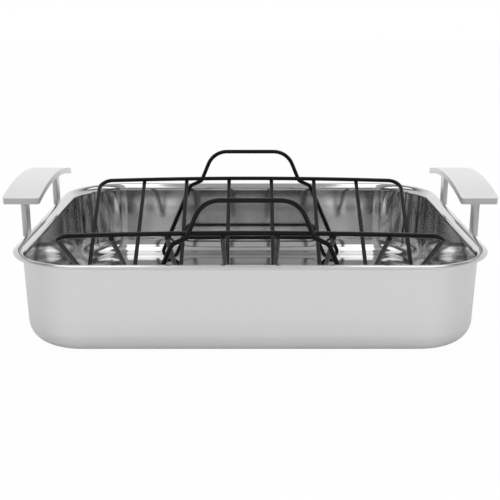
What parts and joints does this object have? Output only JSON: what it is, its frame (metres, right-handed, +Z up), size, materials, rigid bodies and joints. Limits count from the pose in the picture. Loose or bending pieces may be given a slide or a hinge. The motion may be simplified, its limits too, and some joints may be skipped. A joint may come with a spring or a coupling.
{
  "type": "roasting pan with rack",
  "caption": "Rectangular roasting pan with a rolled pouring rim and two arched side handles, holding a lift-out V-shaped wire rack with lifting grips.",
  "frame": {"origin": "on the table under the middle of the pan", "axes": "+X towards the right handle, +Y towards the rear wall, +Z up"},
  "size_m": [0.4654, 0.356, 0.133],
  "materials": {
    "pan_steel": "satin outside, polished inside",
    "handle_steel": "satin",
    "rack_coating": "black non-stick coating, half gloss"
  },
  "bodies": {
    "pan": {"pan_body": "pan_steel", "left_grip": "handle_steel", "right_grip": "handle_steel", "left_front_post": "handle_steel", "left_rear_post": "handle_steel", "right_front_post": "handle_steel", "right_rear_post": "handle_steel"},
    "rack": {"rack_frame": "rack_coating", "rack_rib_1": "rack_coating", "rack_rib_2": "rack_coating", "rack_rib_3": "rack_coating", "rack_rib_4": "rack_coating", "rack_rib_5": "rack_coating", "rack_rib_6": "rack_coating", "rack_front_loop": "rack_coating", "rack_rear_loop": "rack_coating"}
  },
  "joints": [
    {"name": "rack_lift", "type": "slide", "parent": "pan", "child": "rack", "axis": [0, 0, 1], "range_m": [0, 0.14]}
  ]
}
